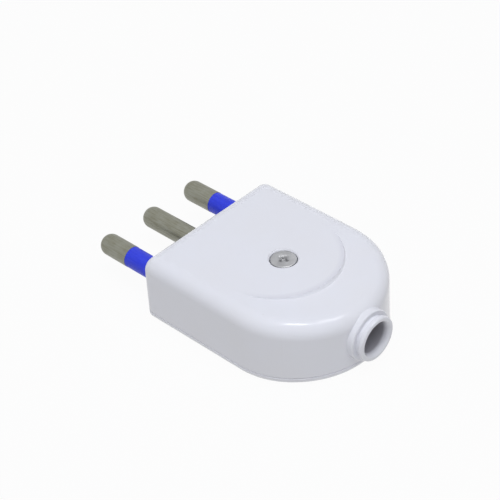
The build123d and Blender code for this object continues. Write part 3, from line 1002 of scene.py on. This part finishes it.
@dataclass
class CarriedPieces:
    """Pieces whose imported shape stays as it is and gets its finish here."""

    slots: dict[str, Slot] = field(default_factory=lambda: {
        "cover_shell": Slot.MOULDING,
        "base_lid": Slot.MOULDING,
        "earth_pin": Slot.PIN,
        "live_pin_left": Slot.PIN,
        "live_pin_right": Slot.PIN,
        "pin_sleeve_left": Slot.SLEEVE,
        "pin_sleeve_right": Slot.SLEEVE,
        "cable_clamp_bar": Slot.CLAMP,
    })

    def dress(self, frame: dict, rack: FinishRack) -> None:
        """Coat each carried piece.

        Args:
            rack: The finishes.
        """
        for name, slot in self.slots.items():
            rack.coat(frame["nodes"][name], slot)
            LOG.info("coated %s with %s", name, slot.value)


@dataclass(frozen=True)
class SoftBox:
    """A square lamp that looks at the plug, and either lights it or shows only in its gloss."""

    name: str
    azimuth: float
    elevation: float
    distance: float
    size: float
    watts: float
    tint: tuple[float, float, float]
    in_gloss: bool = False

    def build(self, aim: Vector) -> None:
        """Hang the lamp.

        Args:
            aim: Point that it looks at.
        """
        turn = math.radians(self.azimuth)
        rise = math.radians(self.elevation)
        out = Vector((math.sin(turn) * math.cos(rise), -math.cos(turn) * math.cos(rise), math.sin(rise)))
        lamp = bpy.data.lights.new(self.name, "AREA")
        lamp.shape = "SQUARE"
        lamp.size = self.size
        lamp.energy = self.watts
        lamp.color = self.tint
        holder = bpy.data.objects.new(self.name, lamp)
        holder.location = aim + out * self.distance
        holder.rotation_mode = "QUATERNION"
        holder.rotation_quaternion = out.to_track_quat("Z", "Y")
        holder.visible_diffuse = not self.in_gloss
        holder.visible_glossy = self.in_gloss
        bpy.context.scene.collection.objects.link(holder)


@dataclass
class Studio:
    """Pale floor, white surroundings, a soft lamp and two reflectors that show in gloss."""

    floor_size: float = 6.0
    floor_shift: float = 1.0
    floor_gap: float = 0.08 * MM
    paper: tuple[int, int, int] = (253, 253, 253)
    paper_share: float = 0.97
    matt_paper: float = 0.9
    bounce: float = 0.66
    sky: tuple[float, float, float] = (0.97, 0.98, 1.0)
    sky_strength: float = 0.36
    far_sky_strength: float = 0.16
    far_side: tuple[float, float, float] = (0.7, 0.7, 0.0)
    sky_turn: tuple[float, float] = (-0.5, 0.5)
    lamps: tuple[SoftBox, ...] = (
        SoftBox("overhead_lamp", azimuth=-45.0, elevation=80.0, distance=0.9, size=0.9, watts=7.15,
                tint=(0.93, 0.95, 1.0)),
        SoftBox("bar_reflector", azimuth=-6.0, elevation=81.0, distance=0.8, size=0.17, watts=1.5,
                tint=(1.0, 1.0, 1.0), in_gloss=True),
        SoftBox("streak_reflector", azimuth=45.0, elevation=66.0, distance=0.8, size=0.2, watts=0.8,
                tint=(1.0, 1.0, 1.0), in_gloss=True),
    )

    def build(self, level: float, aim: Vector) -> None:
        """Lay the floor, set the surroundings and hang the lamps.

        Args:
            level: Height of the floor.
            aim: Point that the lamps look at.
        """
        self._floor(level - self.floor_gap)
        self._surroundings()
        for lamp in self.lamps:
            lamp.build(aim)

    @staticmethod
    def _seen(wiring: Wiring) -> Socket:
        """One on a ray that shows the background, straight or in gloss or glass.

        Args:
            wiring: Wiring of the material or world.

        Returns:
            The value.
        """
        path = wiring.add("ShaderNodeLightPath").outputs
        either = wiring.math("MAXIMUM", path["Is Camera Ray"], path["Is Glossy Ray"])
        return wiring.math("MAXIMUM", either, path["Is Transmission Ray"])

    def _floor(self, level: float) -> None:
        """Lay a white paper floor that keeps a faint shadow, with no diagonal of it under the plug.

        Args:
            level: Its height.
        """
        near = self.floor_shift - self.floor_size / 2
        far = self.floor_shift + self.floor_size / 2
        mesh = bpy.data.meshes.new("paper_floor")
        outline = [(near, -far, level), (far, -far, level), (far, -near, level), (near, -near, level)]
        mesh.from_pydata(outline, [], [(0, 1, 2, 3)])
        floor = bpy.data.objects.new("paper_floor", mesh)
        bpy.context.scene.collection.objects.link(floor)
        material = bpy.data.materials.new("white_paper")
        material.use_nodes = True
        tree = material.node_tree
        tree.nodes.clear()
        wiring = Wiring(tree)
        matt = wiring.add("ShaderNodeBsdfDiffuse")
        matt.inputs["Color"].default_value = (self.matt_paper, self.matt_paper, self.matt_paper, 1.0)
        glow = wiring.add("ShaderNodeEmission")
        soft = (self.bounce, self.bounce, self.bounce, 1.0)
        wiring.join(wiring.mix(self._seen(wiring), soft, linear(*self.paper)), glow.inputs["Color"])
        blend = wiring.add("ShaderNodeMixShader")
        blend.inputs[0].default_value = self.paper_share
        wiring.join(matt.outputs[0], blend.inputs[1])
        wiring.join(glow.outputs[0], blend.inputs[2])
        clear = wiring.add("ShaderNodeBsdfTransparent")
        sides = wiring.add("ShaderNodeMixShader")
        wiring.join(wiring.add("ShaderNodeNewGeometry").outputs["Backfacing"], sides.inputs[0])
        wiring.join(blend.outputs[0], sides.inputs[1])
        wiring.join(clear.outputs[0], sides.inputs[2])
        wiring.join(sides.outputs[0], wiring.add("ShaderNodeOutputMaterial").inputs["Surface"])
        mesh.materials.append(material)
        floor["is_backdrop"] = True

    def _surroundings(self) -> None:
        """Make the world white to the eye and a soft pale light to the plug."""
        world = bpy.data.worlds.new("white_surroundings")
        bpy.context.scene.world = world
        world.use_nodes = True
        tree = world.node_tree
        tree.nodes.clear()
        wiring = Wiring(tree)
        light = wiring.add("ShaderNodeBackground")
        light.inputs["Color"].default_value = (*self.sky, 1.0)
        facing = wiring.add("ShaderNodeVectorMath", operation="DOT_PRODUCT")
        wiring.join(wiring.add("ShaderNodeTexCoord").outputs["Generated"], facing.inputs[0])
        wiring.join(self.far_side, facing.inputs[1])
        limits = (self.sky_strength, self.far_sky_strength)
        strength = wiring.remap(facing.outputs["Value"], *self.sky_turn, *limits)
        wiring.join(strength, light.inputs["Strength"])
        shown = wiring.add("ShaderNodeBackground")
        shown.inputs["Color"].default_value = linear(*self.paper)
        shown.inputs["Strength"].default_value = 1.0
        blend = wiring.add("ShaderNodeMixShader")
        wiring.join(self._seen(wiring), blend.inputs[0])
        wiring.join(light.outputs[0], blend.inputs[1])
        wiring.join(shown.outputs[0], blend.inputs[2])
        wiring.join(blend.outputs[0], wiring.add("ShaderNodeOutputWorld").inputs["Surface"])


@dataclass(frozen=True)
class ProductCamera:
    """Camera at the photograph's viewing angle."""

    aim: tuple[float, float, float] = (0.0, -0.015, 0.0)
    azimuth: float = -44.3
    elevation: float = 38.18
    roll: float = 3.83
    distance: float = 0.32575
    slide_right: float = -0.00126
    slide_up: float = 0.00517
    lens: float = 108.96
    sensor: float = 36.0
    reach: tuple[float, float] = (0.01, 20.0)

    def build(self) -> bpy.types.Object:
        """Make the camera the scene's own.

        Returns:
            The camera.
        """
        turn = math.radians(self.azimuth)
        rise = math.radians(self.elevation)
        lean = math.radians(self.roll)
        back = Vector((math.sin(turn) * math.cos(rise), -math.cos(turn) * math.cos(rise), math.sin(rise)))
        level = Vector((math.cos(turn), math.sin(turn), 0.0))
        upright = back.cross(level)
        right = level * math.cos(lean) - upright * math.sin(lean)
        up = level * math.sin(lean) + upright * math.cos(lean)
        data = bpy.data.cameras.new("product_camera")
        data.sensor_width = self.sensor
        data.lens = self.lens
        data.clip_start, data.clip_end = self.reach
        camera = bpy.data.objects.new("product_camera", data)
        place = Vector(self.aim) + right * self.slide_right + up * self.slide_up + back * self.distance
        turned = Matrix((right, up, back)).transposed().to_4x4()
        camera.matrix_world = Matrix.Translation(place) @ turned
        bpy.context.scene.collection.objects.link(camera)
        bpy.context.scene.camera = camera
        return camera


def main() -> None:
    """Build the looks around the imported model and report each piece."""
    logging.basicConfig(level=logging.INFO, format="%(name)s: %(message)s")
    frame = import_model()
    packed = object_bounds()
    bpy.context.scene.view_settings.view_transform = "Standard"
    ProductCamera().build()
    aim = (packed[0] + packed[1]) / 2
    Studio().build(packed[0].z, aim)
    rack = FinishRack()
    CarriedPieces().dress(frame, rack)
    ScrewSet().build(frame, rack)
    HexNut().build(rack)


if __name__ == "__main__":
    main()
